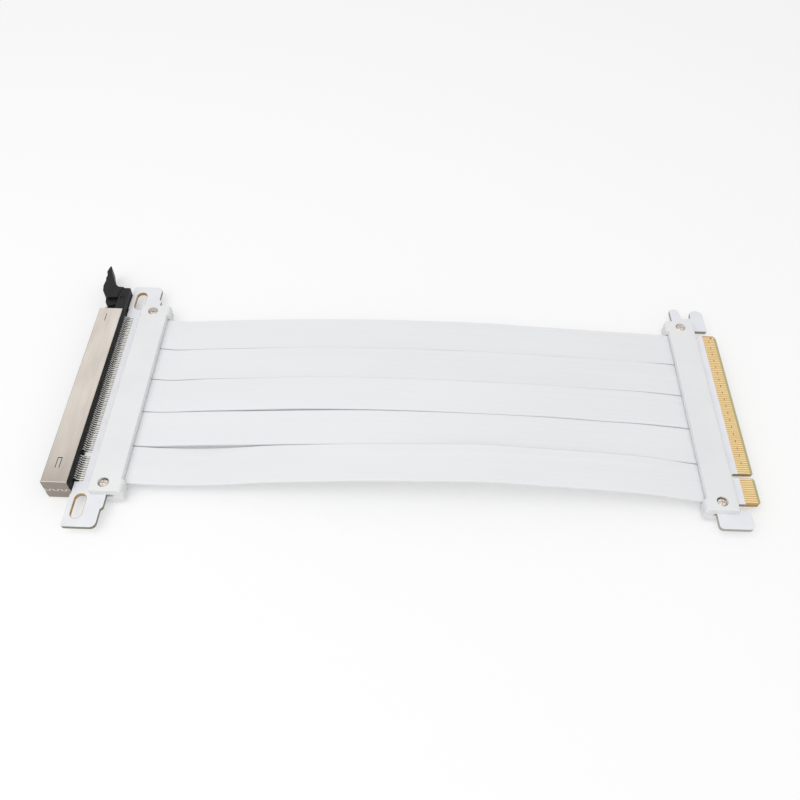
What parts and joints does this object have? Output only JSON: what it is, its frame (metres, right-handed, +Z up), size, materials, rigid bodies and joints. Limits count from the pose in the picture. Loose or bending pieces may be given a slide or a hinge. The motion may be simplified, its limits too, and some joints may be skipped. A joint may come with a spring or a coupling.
{
  "type": "gpu riser cable",
  "caption": "Flexible riser cable: a right-angle graphics card slot with a retention lever, flat white ribbons between screwed clamps, and a plug card edge.",
  "frame": {"origin": "middle of the underside of the whole part's box", "axes": "+X from the card slot's mouth towards the plug's tip, +Y along the contact rows from the key end to the latch end, +Z up out of the boards"},
  "size_m": [0.2736, 0.1334, 0.0154],
  "materials": {
    "black_plastic": "moulded, fine texture",
    "nickel_silver": "rolled sheet, satin",
    "white_board": "white solder mask over glass-fibre board",
    "white_shell": "moulded, satin",
    "white_jacket": "soft film with faint lengthwise lines",
    "screw_steel": "plated"
  },
  "bodies": {
    "cable": {"socket_housing": "black_plastic", "socket_shield": "nickel_silver", "socket_pcb": "white_board", "plug_pcb": "white_board", "socket_clamp_top": "white_shell", "socket_clamp_bottom": "white_shell", "plug_clamp_top": "white_shell", "plug_clamp_bottom": "white_shell", "socket_screw_near": "screw_steel", "socket_screw_far": "screw_steel", "plug_screw_near": "screw_steel", "plug_screw_far": "screw_steel", "ribbon_1": "white_jacket", "ribbon_2": "white_jacket", "ribbon_3": "white_jacket", "ribbon_4": "white_jacket", "ribbon_5": "white_jacket"},
    "latch": {"latch_lever": "black_plastic"}
  },
  "joints": [
    {"name": "latch_pivot", "type": "hinge", "parent": "cable", "child": "latch", "pos_m": [-0.12557, 0.04578, 0.0054], "axis": [0, 0, 1], "range_deg": [0, 25]}
  ]
}
